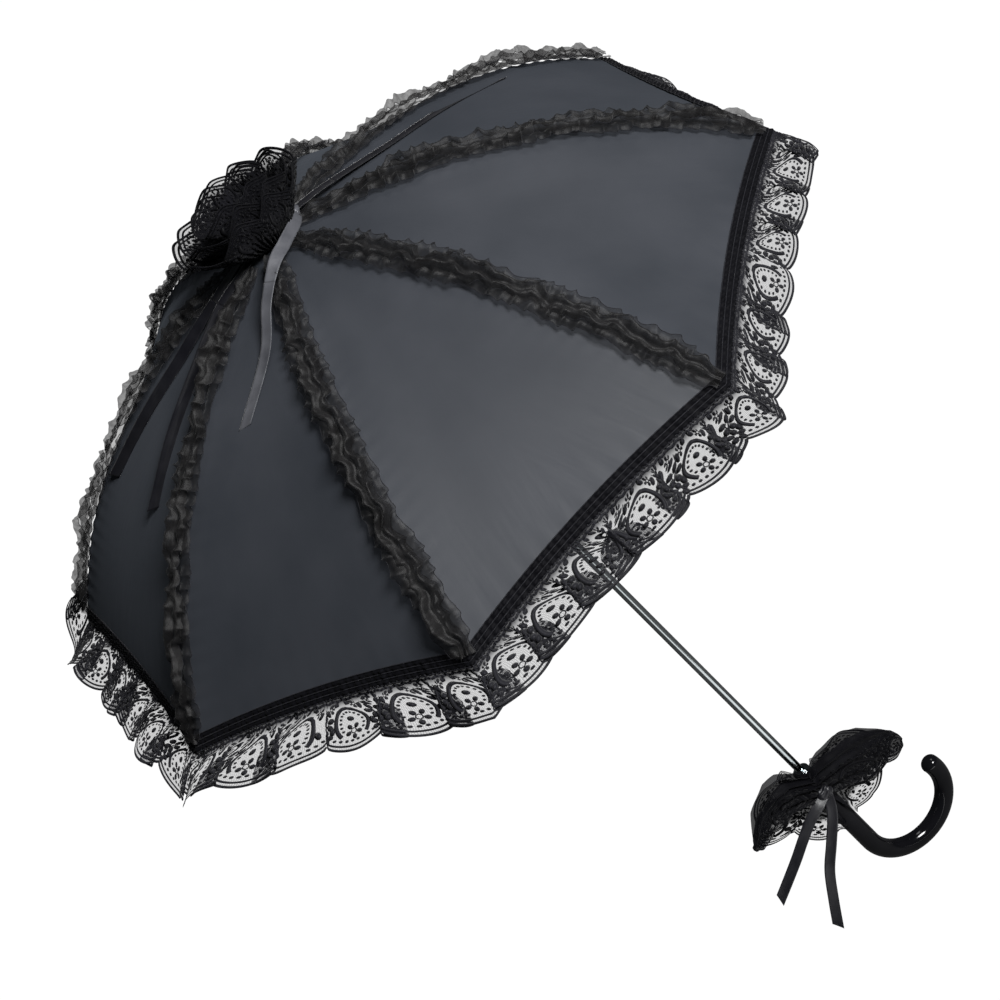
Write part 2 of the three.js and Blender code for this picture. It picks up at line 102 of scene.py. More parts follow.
# ------------------------------------------------------------------ materials
class Nodes:
    """A material with a Principled shader, and short calls that add nodes to it."""

    def __init__(self, name, **values):
        self.material = bpy.data.materials.new(name)
        self.material.use_nodes = True
        self.tree = self.material.node_tree
        self.shader = self.tree.nodes["Principled BSDF"]
        for key, value in values.items():
            self.shader.inputs[key.replace("_", " ")].default_value = value

    def add(self, kind, values=None, **settings):
        node = self.tree.nodes.new("ShaderNode" + kind)
        for key, value in settings.items():
            setattr(node, key, value)
        for key, value in (values or {}).items():
            node.inputs[key].default_value = value
        return node

    def link(self, source, target):
        self.tree.links.new(source, target)
        return self

    def noise(self, coords, scale, detail=3.0, stretch=None, roughness=0.5):
        node = self.add("TexNoise", {"Scale": scale, "Detail": detail, "Roughness": roughness})
        source = coords
        if stretch:
            mapping = self.add("Mapping", {"Scale": stretch})
            self.link(coords, mapping.inputs["Vector"])
            source = mapping.outputs["Vector"]
        self.link(source, node.inputs["Vector"])
        return node.outputs[0]

    def ramp(self, source, stops):
        node = self.add("ValToRGB")
        ramp = node.color_ramp
        while len(ramp.elements) < len(stops):
            ramp.elements.new(0.5)
        for element, (place, colour) in zip(ramp.elements, stops):
            element.position = place
            element.color = (*colour, 1) if hasattr(colour, "__len__") else (colour, colour, colour, 1)
        self.link(source, node.inputs["Fac"])
        return node.outputs["Color"]

    def bump(self, source, strength, distance):
        node = self.add("Bump", {"Strength": strength, "Distance": distance})
        self.link(source, node.inputs["Height"])
        self.link(node.outputs["Normal"], self.shader.inputs["Normal"])

    def multiply(self, a, b):
        node = self.add("Math", operation="MULTIPLY")
        self.link(a, node.inputs[0]).link(b, node.inputs[1])
        return node.outputs[0]

    def flat(self):
        """The cloth's own flat coordinates, in millimetres."""
        return self.add("UVMap", uv_map="flat").outputs["UV"]

    def place(self):
        return self.add("TexCoord").outputs["Object"]


def weave(m, coords, scale_x, scale_y, strength, distance):
    """Two crossed bands as bump, for the threads of a cloth."""
    waves = []
    for direction, scale in (("X", scale_x), ("Y", scale_y)):
        node = m.add("TexWave", {"Scale": scale, "Distortion": 0.6}, bands_direction=direction)
        m.link(coords, node.inputs["Vector"])
        waves.append(node.outputs["Fac"])
    add = m.add("Math", operation="ADD")
    m.link(waves[0], add.inputs[0]).link(waves[1], add.inputs[1])
    m.bump(add.outputs[0], strength, distance)


def satin_material():
    m = Nodes("charcoal_satin", Sheen_Weight=0.08, Sheen_Roughness=0.5, Specular_IOR_Level=0.35)
    m.shader.inputs["Sheen Tint"].default_value = (0.75, 0.85, 1.0, 1)
    flat = m.flat()
    clouds = m.noise(m.place(), 12.0, 4.0)
    slubs = m.noise(flat, 0.35, 2.0, stretch=(1.0, 0.08, 1.0))
    m.link(m.ramp(clouds, [(0.25, (0.030, 0.034, 0.042)), (0.75, (0.046, 0.050, 0.060))]),
           m.shader.inputs["Base Color"])
    m.link(m.ramp(m.multiply(clouds, slubs), [(0.1, 0.50), (0.5, 0.62)]), m.shader.inputs["Roughness"])
    weave(m, flat, 0.55, 0.55, 0.10, 0.0002)
    return m.material


def ribbon_material(name, low, high, rough):
    m = Nodes(name, Sheen_Weight=0.2, Sheen_Roughness=0.3, Specular_IOR_Level=0.6, Anisotropic=0.5)
    flat = m.flat()
    clouds = m.noise(flat, 0.06, 3.0)
    threads = m.noise(flat, 0.9, 2.0, stretch=(1.0, 0.05, 1.0))
    m.link(m.ramp(clouds, [(0.3, low), (0.7, high)]), m.shader.inputs["Base Color"])
    m.link(m.ramp(threads, [(0.3, rough), (0.7, rough + 0.12)]), m.shader.inputs["Roughness"])
    weave(m, flat, 0.9, 0.9, 0.15, 0.0001)
    return m.material


def organza_material():
    m = Nodes("organza", Sheen_Weight=0.12, Sheen_Roughness=0.4, Roughness=0.48, Specular_IOR_Level=0.4)
    flat = m.flat()
    clouds = m.noise(flat, 0.09, 4.0)
    m.link(m.ramp(clouds, [(0.3, (0.006, 0.0055, 0.006)), (0.7, (0.015, 0.014, 0.014))]),
           m.shader.inputs["Base Color"])
    m.link(m.ramp(m.noise(flat, 0.16, 3.0), [(0.3, 0.42), (0.7, 0.66)]), m.shader.inputs["Alpha"])
    weave(m, flat, 0.8, 0.8, 0.2, 0.0002)
    return m.material


def shade(colour, painted_shade_tone):
    """A colour made lighter or darker by a factor; the lace copies use it to darken their colour as painted
    shade.
    """
    return tuple(painted_shade_tone * c for c in colour)


def net_material(name, clear, thread, close=(3.0, 9.0), painted_shade_tone=1.0):
    """Fine net: thread round small cells, thinner cloth inside them, and close work at the header."""
    m = Nodes(name, Roughness=0.65, Sheen_Weight=0.1 * painted_shade_tone, Specular_IOR_Level=0.25 * painted_shade_tone)
    flat = m.flat()
    cells = m.add("TexVoronoi", {"Scale": 0.85, "Randomness": 0.35},
                  feature="DISTANCE_TO_EDGE", voronoi_dimensions="2D")
    m.link(flat, cells.inputs["Vector"])
    net = m.ramp(cells.outputs["Distance"], [(0.08, thread), (0.22, clear)])
    split = m.add("SeparateXYZ")
    m.link(flat, split.inputs[0])
    header = m.add("MapRange", {"From Min": close[0], "From Max": close[1], "To Min": 0.93, "To Max": 0.0})
    m.link(split.outputs["Y"], header.inputs["Value"])
    both = m.add("Math", operation="MAXIMUM")
    m.link(net, both.inputs[0]).link(header.outputs[0], both.inputs[1])
    m.link(both.outputs[0], m.shader.inputs["Alpha"])
    # A last argument below 1 darkens the net's colour as painted shade, for the rosette, bow, header and pouf
    # copies; it also lowers their sheen and specular.
    dark, light = shade((0.006, 0.006, 0.010), painted_shade_tone), shade((0.016, 0.016, 0.022), painted_shade_tone)
    m.link(m.ramp(m.noise(flat, 0.08, 3.0), [(0.3, dark), (0.7, light)]), m.shader.inputs["Base Color"])
    return m.material


def cord_material(name, painted_shade_tone):
    m = Nodes(name, Sheen_Weight=0.08 * painted_shade_tone, Sheen_Roughness=0.5, Specular_IOR_Level=0.3 * painted_shade_tone)
    place = m.place()
    # A last argument below 1 darkens the cord's colour as painted shade, for the rosette and bow copies; it
    # also lowers their sheen and specular.
    dark, light = shade((0.004, 0.004, 0.007), painted_shade_tone), shade((0.012, 0.012, 0.017), painted_shade_tone)
    m.link(m.ramp(m.noise(place, 90.0, 3.0), [(0.3, dark), (0.7, light)]), m.shader.inputs["Base Color"])
    m.link(m.ramp(m.noise(place, 700.0, 2.0), [(0.3, 0.55), (0.7, 0.8)]), m.shader.inputs["Roughness"])
    m.bump(m.noise(place, 1800.0, 2.0), 0.4, 0.0003)
    return m.material


def steel_material(name, dark, light, rough):
    m = Nodes(name, Metallic=1.0)
    place = m.place()
    drawn = m.noise(place, 900.0, 3.0, stretch=(1.0, 1.0, 0.04))
    m.link(m.ramp(m.noise(place, 14.0, 4.0), [(0.3, dark), (0.7, light)]), m.shader.inputs["Base Color"])
    m.link(m.ramp(drawn, [(0.3, rough), (0.7, rough + 0.06)]), m.shader.inputs["Roughness"])
    m.bump(drawn, 0.04, 0.0001)
    return m.material


def plastic_material(name, rough, coat, grain):
    m = Nodes(name, Coat_Weight=coat, Coat_Roughness=0.05, Specular_IOR_Level=0.3)
    place = m.place()
    m.link(m.ramp(m.noise(place, 20.0, 4.0), [(0.3, (0.004, 0.004, 0.005)), (0.7, (0.008, 0.008, 0.010))]),
           m.shader.inputs["Base Color"])
    m.link(m.ramp(m.noise(place, 60.0, 5.0), [(0.35, rough), (0.7, rough + 0.10)]),
           m.shader.inputs["Roughness"])
    m.bump(m.noise(place, grain, 2.0), 0.05, 0.0003)
    return m.material


SATIN = satin_material()
RIBBON = ribbon_material("black_ribbon", (0.006, 0.006, 0.009), (0.014, 0.014, 0.018), 0.34)
GREY_RIBBON = ribbon_material("grey_ribbon", (0.075, 0.077, 0.088), (0.13, 0.133, 0.148), 0.30)
ORGANZA = organza_material()
NET = net_material("lace_net", 0.24, 0.62, (4.0, 15.0))
# The rosette, bow, header and pouf nets are the hem lace with their colour darkened by the last argument:
# painted shade. The dense net is also more opaque.
CROWN_NET = net_material("crown_lace_net", 0.25, 0.65, (28.0, 38.0), 0.6)
BOW_NET = net_material("bow_lace_net", 0.22, 0.6, (17.0, 25.0), 0.45)
DENSE_NET = net_material("dense_lace_net", 0.62, 0.96, (3.0, 9.0), 0.3)
CORD = cord_material("lace_cord", 1.0)
# The same lace cord with its colour darkened: painted shade, for the rosette and the bow.
SHADED_CORD = cord_material("shaded_lace_cord", 0.35)
STEEL = steel_material("shaft_steel", (0.36, 0.40, 0.41), (0.50, 0.54, 0.55), 0.07)
PLASTIC = plastic_material("black_plastic", 0.38, 0.0, 400.0)
GLOSS = plastic_material("gloss_black", 0.07, 0.3, 90.0)


# ------------------------------------------------------------------ mesh helpers
def grid_faces(rows, cols, closed=False):
    """Quads between rows of points; closed joins the last column to the first."""
    i, j = np.meshgrid(np.arange(rows - 1), np.arange(cols if closed else cols - 1), indexing="ij")
    a, b = i * cols + j, i * cols + (j + 1) % cols
    return np.stack([a, b, b + cols, a + cols], -1).reshape(-1, 4)


def make_piece(name, parts, materials, body):
    """One mesh object from (points in mm, faces, material number, flat coordinates) parts."""
    points, faces, kinds, flats, first = [], [], [], [], 0
    for xyz, polygons, kind, uv in parts:
        xyz = np.asarray(xyz, float).reshape(-1, 3)
        points.append(xyz)
        for block in polygons if isinstance(polygons, list) else [polygons]:
            faces += (block + first).tolist()
            kinds += [kind] * len(block)
        flats.append(np.zeros((len(xyz), 2)) if uv is None else np.asarray(uv, float).reshape(-1, 2))
        first += len(xyz)
    mesh = bpy.data.meshes.new(name)
    mesh.from_pydata((np.concatenate(points) * MM).tolist(), [], faces)
    layer = mesh.uv_layers.new(name="flat")
    corner = np.empty(len(mesh.loops), int)
    mesh.loops.foreach_get("vertex_index", corner)
    layer.data.foreach_set("uv", np.concatenate(flats)[corner].ravel())
    mesh.polygons.foreach_set("use_smooth", np.ones(len(mesh.polygons), bool))
    mesh.polygons.foreach_set("material_index", np.array(kinds))
    for material in materials:
        mesh.materials.append(material)
    piece = bpy.data.objects.new(name, mesh)
    bpy.context.scene.collection.objects.link(piece)
    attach(piece, body)
    return piece


def thicken(piece, thick, offset=-1.0):
    """Gives a sheet its thickness, in mm; offset -1 grows it away from its upper side."""
    modifier = piece.modifiers.new("thickness", "SOLIDIFY")
    modifier.thickness = thick * MM
    modifier.offset = offset
    bpy.context.view_layer.update()
    final = bpy.data.meshes.new_from_object(piece.evaluated_get(bpy.context.evaluated_depsgraph_get()))
    piece.modifiers.clear()
    piece.data = final


def turned_z(points, angle):
    """Points turned about the shaft's axis and lifted to the rib hinges."""
    c, s = math.cos(angle), math.sin(angle)
    x, y, z = points[..., 0], points[..., 1], points[..., 2]
    return np.stack([c * x - s * y, s * x + c * y, z + APEX_Z], -1)


def smooth(x, low=0.0, high=1.0):
    """An eased step from 0 to 1 between low and high."""
    t = np.clip((np.asarray(x, float) - low) / (high - low), 0, 1)
    return t * t * (3 - 2 * t)


def wander(x, seed):
    """A smooth wandering value near -1 to 1, the same for the same seed."""
    return (np.sin(x + seed) + np.sin(1.73 * x + 2.3 * seed) + np.sin(2.91 * x + 4.1 * seed)) / 2.2


def azimuth_of(k):
    return SECTOR / 2 + (k - 1) * SECTOR


# ------------------------------------------------------------------ the rib's arc and the cloth on it
def rib_point(along, off):
    slope = START_SLOPE + along / ARC_R
    x = HINGE_R + ARC_R * (np.sin(slope) - math.sin(START_SLOPE)) + off * np.sin(slope)
    z = -ARC_R * (math.cos(START_SLOPE) - np.cos(slope)) + off * np.cos(slope)
    return x, z


def cloth_point(along, off, side):
    """Where the cloth of a sector is; side runs from -1 to 1 between the middles of two panels."""
    x, z = rib_point(along, off)
    return np.stack([x * (1 - FLAT_X * np.abs(side)), x * FLAT_Y * side, z], -1)


def hem_along(side):
    return RIB_LONG - HEM_SAG * (1 - (1 - np.minimum(np.abs(side), 1.0)) ** 2)


def cloth_dip(along, side):
    """How far the cloth lies in between two ribs, and its small puckers by seam and hem."""
    s = np.abs(side)
    middle = np.sin(PI * np.clip(along / RIB_LONG, 0, 1)) ** 0.8
    dip = -4.0 * middle * (2 * s - s * s)
    from_rib = s * (HINGE_R + along) * FLAT_Y
    inner = np.clip(1 - s, 0, 1) ** 2
    seam = 0.5 * inner * np.exp(-from_rib / 16.0) * np.sin(2 * PI * along / 14.0)
    from_hem = hem_along(side) - along
    rim = 0.28 * np.exp(-from_hem / 16.0) * np.sin(PI * side * 14)
    waves = 0.45 * middle * np.sin(PI * s) ** 2 * np.sin(along / 37.0 + 5.0 * s)
    return dip + seam + rim + waves


def squash_on_rib(piece):
    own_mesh(piece)


PANEL_SIDES = np.concatenate([[-1.6, -1.3, -1.14, -1.06], np.linspace(-1, 1, 91), [1.06, 1.14, 1.3, 1.6]])
PANEL_START_R = 12.0  # the cloth's inner edge, from the shaft's axis
FLAP_ALONG = [10, 40, 80, 125, 165, 205, 240]
FLAP_WIDE = [0.5, 8, 11.5, 11, 8, 3.5, 0.4]  # how far a flap reaches under its neighbour there


def make_panel(k):
    """The satin over one rib, out to the middle of both neighbouring panels, with narrow flaps
    tucked under the neighbours so that no slit opens as the ribs fold."""
    inner = PANEL_START_R - HINGE_R
    t, s = np.meshgrid(np.linspace(0, 1, 136), PANEL_SIDES, indexing="ij")
    inside = np.clip(np.abs(s), 0, 1)
    along = inner + (hem_along(s) - inner) * t
    half = rib_point(along, 0)[0] * FLAT_Y
    flap = np.interp(along, FLAP_ALONG, FLAP_WIDE)
    extra = (np.abs(s) - 1).clip(0) / 0.6 * flap / half
    side = np.sign(s) * (inside + extra)
    off = CLOTH_OFF + cloth_dip(along, side) - 0.02 * smooth(extra * half, 0, 0.5)
    off = off - 1.0 * smooth(extra * half, 1.2, 4.0)
    flat = np.stack([side * half, along], -1)
    piece = make_piece(f"canopy_panel_{k}", [
        (turned_z(cloth_point(along, off, side), azimuth_of(k)), grid_faces(*s.shape), 0, flat)
    ], [SATIN], f"rib_{k}")
    thicken(piece, 0.4)
    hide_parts(f"canopy_{k}")
    squash_on_rib(piece)


# ------------------------------------------------------------------ organza ruffles on the ribs
def tube_along(path, radius, sides=4):
    """A thin tube round a line of points."""
    path = np.asarray(path, float)
    ahead = np.gradient(path, axis=0)
    ahead /= np.linalg.norm(ahead, axis=1, keepdims=True) + 1e-9
    side = np.cross(ahead, [0.31, 0.22, 0.92])
    side /= np.linalg.norm(side, axis=1, keepdims=True) + 1e-9
    up = np.cross(side, ahead)
    angle = 2 * PI * np.arange(sides) / sides
    ring = side[:, None] * np.cos(angle)[None, :, None] + up[:, None] * np.sin(angle)[None, :, None]
    return (path[:, None] + radius * ring).reshape(-1, 3), grid_faces(len(path), sides, closed=True)


RUFFLE_STRIPS = [(14.5, 8.0, 1.2), (8.5, 16.5, 1.3)]  # sideways reach, height, step along the rib
RUFFLE_FOLD = 15.0  # length of one fold along the rib


def make_ruffle(k):
    """A gathered organza strip sewn down its middle along the rib; its two overlocked edges curl
    up and outwards. A second, narrower fold stands inside it."""
    parts = []
    for layer, (reach, high, step) in enumerate(RUFFLE_STRIPS):
        a0 = np.arange(20.0, RIB_LONG - 8.0, step)
        a, w = np.meshgrid(a0, np.linspace(-1, 1, 19), indexing="ij")
        edge, sign = np.abs(w), np.sign(w)
        seed = 1.7 * k + 5.1 * layer + 2.6 * sign
        phase = 2 * PI * a / RUFFLE_FOLD + 3.2 * wander(a / 26.0, seed)
        fast = 2 * PI * a / 6.3 + 2.2 * wander(a / 17.0, seed + 3)
        full = 0.80 + 0.34 * wander(a / 31.0, seed + 1)
        fade = (smooth(a, 15, 70) * 0.35 + 0.65) * (1 - 0.45 * smooth(a, RIB_LONG - 30, RIB_LONG - 8))
        lateral = sign * fade * (reach * edge ** 0.8 * (0.94 + 0.13 * wander(a / 24.0, seed))
                                 + edge ** 2 * 1.2 * np.sin(phase + 1.1))
        lateral = lateral + layer * 3.4 * wander(a / 10.0, 2.2 * k) * fade
        rise = high * full * (0.36 * layer + (1 - 0.36 * layer) * np.sin(PI / 2 * edge) ** 0.75)
        lie = 0.5 + 0.5 * wander(a / 33.0, seed + 7)
        droop = edge ** 3 * high * (0.35 + 0.5 * lie)
        creases = 0.45 * np.sin(fast + 4 * edge) * (0.3 + 0.7 * edge)
        off = CLOTH_OFF + 0.8 + fade * (rise - droop + (0.3 + 0.7 * edge) * 1.9 * np.sin(phase) + creases)
        shifted = a + edge * 1.4 * np.cos(phase)
        x, z = rib_point(shifted, np.maximum(off, CLOTH_OFF + 0.5 + 1.2 * edge))
        points = turned_z(np.stack([x, lateral, z], -1), azimuth_of(k))
        flat = np.stack([w * 19.0 + 50 * layer, a * 1.7], -1)
        parts.append((points, grid_faces(*a.shape), 0, flat))
        for column in (0, -1):
            parts.append((*tube_along(points[:, column], 0.28), 1, None))
    piece = make_piece(f"organza_ruffle_{k}", parts, [ORGANZA, CORD], f"rib_{k}")
    # two strips, each 30 mm wide across its curl and as long as its free edges along their waves
    squash_on_rib(piece)


# ------------------------------------------------------------------ lace
SCALLOP = 42.0  # repeat of the lace's pattern along its edge, flat
PLEAT = 84.0  # flat lace taken up by one pleat
PLEATS = 6  # pleats in one sector
LACE_DEEP = 45.0


def scallop_edge(u):
    return 37.5 + 7.5 * np.abs(np.sin(PI * u / SCALLOP)) ** 0.7


def flat_cord(path, wide, high=0.45):
    """A raised cord along a line in the flat lace: rows of (u, v, height) points and their quads."""
    path = np.asarray(path, float)
    ahead = np.gradient(path, axis=0)
    ahead /= np.linalg.norm(ahead, axis=1, keepdims=True) + 1e-9
    side = np.stack([-ahead[:, 1], ahead[:, 0]], -1) * wide / 2
    top = np.zeros((len(path), 1))
    ring = [np.hstack([path + side, top]), np.hstack([path, top + high]),
            np.hstack([path - side, top]), np.hstack([path, top - high])]
    return np.stack(ring, 1).reshape(-1, 3), grid_faces(len(path), 4, closed=True)


def flat_leaf(centre, long, wide, angle=0.0, high=0.5, sides=8):
    """A small solid leaf or bead in the flat lace."""
    turn = 2 * PI * np.arange(sides) / sides
    x, y = long / 2 * np.cos(turn), wide / 2 * np.sin(turn)
    c, s = math.cos(angle), math.sin(angle)
    rim = np.stack([centre[0] + c * x - s * y, centre[1] + s * x + c * y, 0 * x], -1)
    points = np.vstack([rim, [[*centre, high], [*centre, -high]]])
    i = np.arange(sides)
    j = (i + 1) % sides
    top = np.stack([i, j, np.full(sides, sides)], -1)
    under = np.stack([j, i, np.full(sides, sides + 1)], -1)
    return points, np.vstack([top, under])


def arc(centre, rx, ry, start, end, count):
    t = np.radians(np.linspace(start, end, count))
    return np.stack([centre[0] + rx * np.cos(t), centre[1] - ry * np.sin(t)], -1)


def flower(centre, reach, petal, petals=5, turn=0.0):
    """Petals round a small ring."""
    out = []
    for i in range(petals):
        a = turn + 2 * PI * i / petals
        at = (centre[0] + reach * math.cos(a), centre[1] + reach * math.sin(a))
        out.append(flat_leaf(at, 1.25 * petal, petal, a))
    return out + [flat_cord(arc(centre, 0.45 * reach, 0.45 * reach, 0, 360, 9), 0.9)]


def lace_repeat():
    """One repeat of a floral lace: scalloped cords and beads, a horseshoe with a ring flower in
    its mouth, flowers and leaves on a stem between two horseshoes, and a row under the header."""
    middle = SCALLOP / 2
    edge_u = np.linspace(0, SCALLOP, 23)
    parts = []
    for inset, wide in ((0.0, 2.0), (3.4, 1.6)):
        parts.append(flat_cord(np.stack([edge_u, scallop_edge(edge_u) - inset], -1), wide))
    for u in np.arange(2.1, SCALLOP, 4.2):
        parts.append(flat_leaf((u, float(scallop_edge(u)) - 7.2), 3.0, 2.4, sides=6))
    parts.append(flat_cord(arc((middle, 24.5), 12.6, 13.5, -42, 222, 25), 3.2, 0.6))
    for angle in range(-30, 211, 20):
        t = math.radians(angle)
        at = (middle + 8.9 * math.cos(t), 24.5 - 9.8 * math.sin(t))
        parts.append(flat_leaf(at, 2.7, 2.1, sides=6))
    parts += flower((middle, 30.5), 4.4, 3.6, turn=0.3)
    parts += flower((1.0, 20.0), 4.6, 4.8, turn=0.9) + flower((-0.5, 31.0), 3.8, 4.2)
    parts += flower((middle - 13.5, 9.0), 3.0, 2.6) + flower((middle + 13.5, 9.0), 3.0, 2.6, turn=0.5)
    leaves = ((4.0, 12.0, 8.0, 0.9), (middle - 6.0, 6.0, 8.0, -0.35), (middle + 6.0, 6.0, 8.0, 0.35),
              (SCALLOP - 4.0, 12.0, 8.0, -0.9), (SCALLOP - 5.2, 27.0, 7.0, 1.3), (5.4, 27.0, 7.0, 1.8),
              (middle, 20.5, 6.0, 0.2))
    for u, v, long, angle in leaves:
        parts.append(flat_leaf((u, v), long, 4.4, angle))
    wave = np.linspace(0, SCALLOP, 15)
    parts.append(flat_cord(np.stack([wave, 3.2 + 0.6 * np.sin(6 * PI * wave / SCALLOP)], -1), 2.2))
    parts.append(flat_cord([(0, 8.0), (2.0, 13.0), (0.4, 24.0), (2.0, 34.0)], 1.3))
    for u in np.arange(3.0, SCALLOP, 6.0):
        parts.append(flat_leaf((u, 0.6), 3.8, 2.6, sides=6))
    quads = [p for p in parts if p[1].shape[1] == 4]
    points, blocks, first = [], [], 0
    for xyz, faces in quads + [p for p in parts if p[1].shape[1] == 3]:
        points.append(xyz)
        blocks.append(faces + first)
        first += len(xyz)
    split = len(quads)
    return np.vstack(points), np.vstack(blocks[:split]), np.vstack(blocks[split:])


REPEAT = lace_repeat()


def lace_cords(repeats):
    """The pattern laid side by side, flat."""
    points, quads, triangles = REPEAT
    n = len(points)
    xyz = np.vstack([points + [i * SCALLOP, 0, 0] for i in range(repeats)])
    xyz[:, 0] = np.clip(xyz[:, 0], 0, repeats * SCALLOP)
    return xyz, [np.vstack([quads + i * n for i in range(repeats)]),
                 np.vstack([triangles + i * n for i in range(repeats)])]


def lace_net(repeats, step_u=1.5, rows=20, plain=0.0):
    """The net behind the pattern, cut to the scalloped edge, flat, with a plain part above it."""
    u, t = np.meshgrid(np.arange(0, repeats * SCALLOP + 0.1, step_u), np.linspace(0, 1, rows), indexing="ij")
    v = t * (scallop_edge(u) + plain) - plain
    return np.stack([u, v, 0 * u], -1), grid_faces(*u.shape)


def meander_table():
    """A knife pleat of constant length: advance, rise and slope along it, for each fullness.
    The cloth runs flat, then turns up and back over itself, and then forward again."""
    phase = np.linspace(0, 1, 513)
    fullness = np.linspace(0, 4.0, 81)
    into_fold = np.mod(phase - 0.60, 1.0) / 0.48
    fold = np.where(into_fold < 1, np.sin(PI * into_fold) ** 2, 0.0)
    tilt = fullness[:, None] * fold[None]
    step = phase[1]

    def summed(values):
        middle = (values[:, 1:] + values[:, :-1]) / 2 * step
        return np.hstack([np.zeros((len(values), 1)), np.cumsum(middle, 1)])

    advance, rise = summed(np.cos(tilt)), summed(np.sin(tilt))
    return phase, fullness, advance / advance[:, -1:], rise - rise[:, -1:] * phase, tilt


MEANDER = meander_table()


def meander(phase, fullness):
    """Advance (0 to 1), rise (in flat lengths) and slope of the wave at a phase from 0 to 1."""
    phases, fulls, *tables = MEANDER
    i = np.clip(phase, 0, 1) * (len(phases) - 1)
    j = np.clip(fullness, 0, fulls[-1]) / fulls[-1] * (len(fulls) - 1)
    i0, j0 = np.minimum(i.astype(int), len(phases) - 2), np.minimum(j.astype(int), len(fulls) - 2)
    fi, fj = i - i0, j - j0
    return [
        (t[j0, i0] * (1 - fi) + t[j0, i0 + 1] * fi) * (1 - fj)
        + (t[j0 + 1, i0] * (1 - fi) + t[j0 + 1, i0 + 1] * fi) * fj
        for t in tables
    ]


def pleated(u, v, count, seed, full=3.2, start=0.6, fine=1.2, fine_end=20.0):
    """Where a point of the flat lace is once gathered: place along the gathered edge (0 to 1),
    rise over the base in mm, and slope. No two pleats are the same."""
    long = count * PLEAT
    if seed % 2:
        u = long - u
    j = np.clip(np.floor(u / PLEAT), 0, count - 1)
    phase = np.clip(u / PLEAT - j, 0, 1)
    grow = smooth(v, -4, start * LACE_DEEP)
    own = np.sin(12.9898 * (j + 1) + 4.1 * seed)
    other = np.sin(7.233 * (j + 2) + 2.7 * seed)
    window = np.sin(PI * phase) ** 2
    phase = phase + 0.05 * own * np.sin(2 * PI * phase)
    advance, rise, tilt = meander(phase, full * grow * (1 + 0.16 * other * window))
    advance = advance + (0.12 + 0.28 * own) * (v / LACE_DEEP).clip(0) ** 1.3 * window
    place = (j + advance + 0.10 * np.sin(2 * PI * (j + advance) / count + seed)) / count
    place = place - 0.10 * np.sin(seed) / count
    if seed % 2:
        place, tilt = 1 - place, -tilt
    wave = np.sin(2 * PI * u / 6.0 + 0.8 * np.sin(2 * PI * u / 42.0 + seed))
    gathers = fine * wave * (1 - smooth(v, 0.25 * fine_end, fine_end))
    return place, rise * PLEAT * 0.55 + gathers, tilt


def lace_pair(names, shape, grid, pattern, materials, body):
    """A net and the raised cords on it, both laid out flat and then put in place by shape."""
    return [
        make_piece(name, [(shape(flat), faces, 0, flat[..., :2])], [material], body)
        for name, (flat, faces), material in zip(names, (grid, pattern), materials)
    ]


def lace_on_hem(k, flat):
    """Maps flat lace to the gathered lace beyond the hem of sector k."""
    u, v, h = flat[..., 0], flat[..., 1], flat[..., 2]
    place, rise, tilt = pleated(u, v, PLEATS, k)
    side = 2 * place - 1
    azimuth = azimuth_of(k) + side * SECTOR / 2
    sway = 9 * np.sin(PLEATS * PI * place + 1.9 * k) + 5 * np.sin(2.7 * PLEATS * place + 0.8 * k)
    flare = np.radians(14 - 28 * np.cos(azimuth) + sway * np.sin(PI * place)) * smooth(v, 0, 12)
    along = hem_along(side) + v * np.cos(flare) - 0.8
    width = 2 * rib_point(along, 0)[0] * FLAT_Y
    side = side - h * np.sin(tilt) * 2 / width
    off = CLOTH_OFF + 1.1 + v * np.sin(flare) + rise + h * np.cos(tilt)
    return turned_z(cloth_point(along, off, side), azimuth_of(k))


def make_lace(k):
    """The gathered lace of one sector: the net and its corded pattern."""
    repeats = int(PLEATS * PLEAT / SCALLOP)
    net, cords = lace_pair((f"lace_net_{k}", f"lace_cords_{k}"), lambda flat: lace_on_hem(k, flat),
                           lace_net(repeats), lace_cords(repeats), (NET, CORD), f"rib_{k}")
    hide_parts(f"lace_hem_{k}")
    for piece in (net, cords):
        squash_on_rib(piece)


BAND_DEEP = 13.0
BAND_TUCKS = 42  # small tucks along one sector's band


def make_band(k):
    """The gathered heading of the lace: small tucks between four rows of shirring."""
    side, w = np.meshgrid(np.linspace(-1, 1, 337), np.linspace(-BAND_DEEP, 0.6, 17), indexing="ij")
    rows = np.abs(np.sin(PI * (w + BAND_DEEP) / (BAND_DEEP / 3)))
    tucks = np.sin(side * BAND_TUCKS * PI + 1.6 * wander(side * 21, k) * (1 - side ** 2))
    big = np.exp(-((np.mod(side * 3.5 + 0.5, 1) - 0.5) * 9) ** 2)
    along = hem_along(side) + w + 0.5 * tucks * rows
    off = CLOTH_OFF + 0.5 + rows * (0.9 + 0.6 * tucks + 0.9 * big)
    flat = np.stack([side * 200, w], -1)
    parts = [(turned_z(cloth_point(along, off, side), azimuth_of(k)), grid_faces(*side.shape), 0, flat)]
    line = np.linspace(-1, 1, 160)
    for row in range(4):
        w_row = -BAND_DEEP + row * BAND_DEEP / 3
        lift = CLOTH_OFF + 1.1 + 0.35 * np.sin(line * BAND_TUCKS * PI)
        path = turned_z(cloth_point(hem_along(line) + w_row, lift, line), azimuth_of(k))
        parts.append((*tube_along(path, 0.45), 1, None))
    band = make_piece(f"lace_band_{k}", parts, [DENSE_NET, CORD], f"rib_{k}")
    squash_on_rib(band)


# ------------------------------------------------------------------ rosette round the ferrule
ROSETTE = [  # repeats of lace, inner radius and height, outer radius and height, sag
    (8, 9.5, 4.5, 63.0, 46.0, -6.0),
    (7, 9.0, 8.0, 53.0, 53.0, -4.0),
    (5, 8.5, 12.0, 36.0, 58.0, -2.0),
]
CROWN_PLAIN = 22.0  # plain net above the pattern


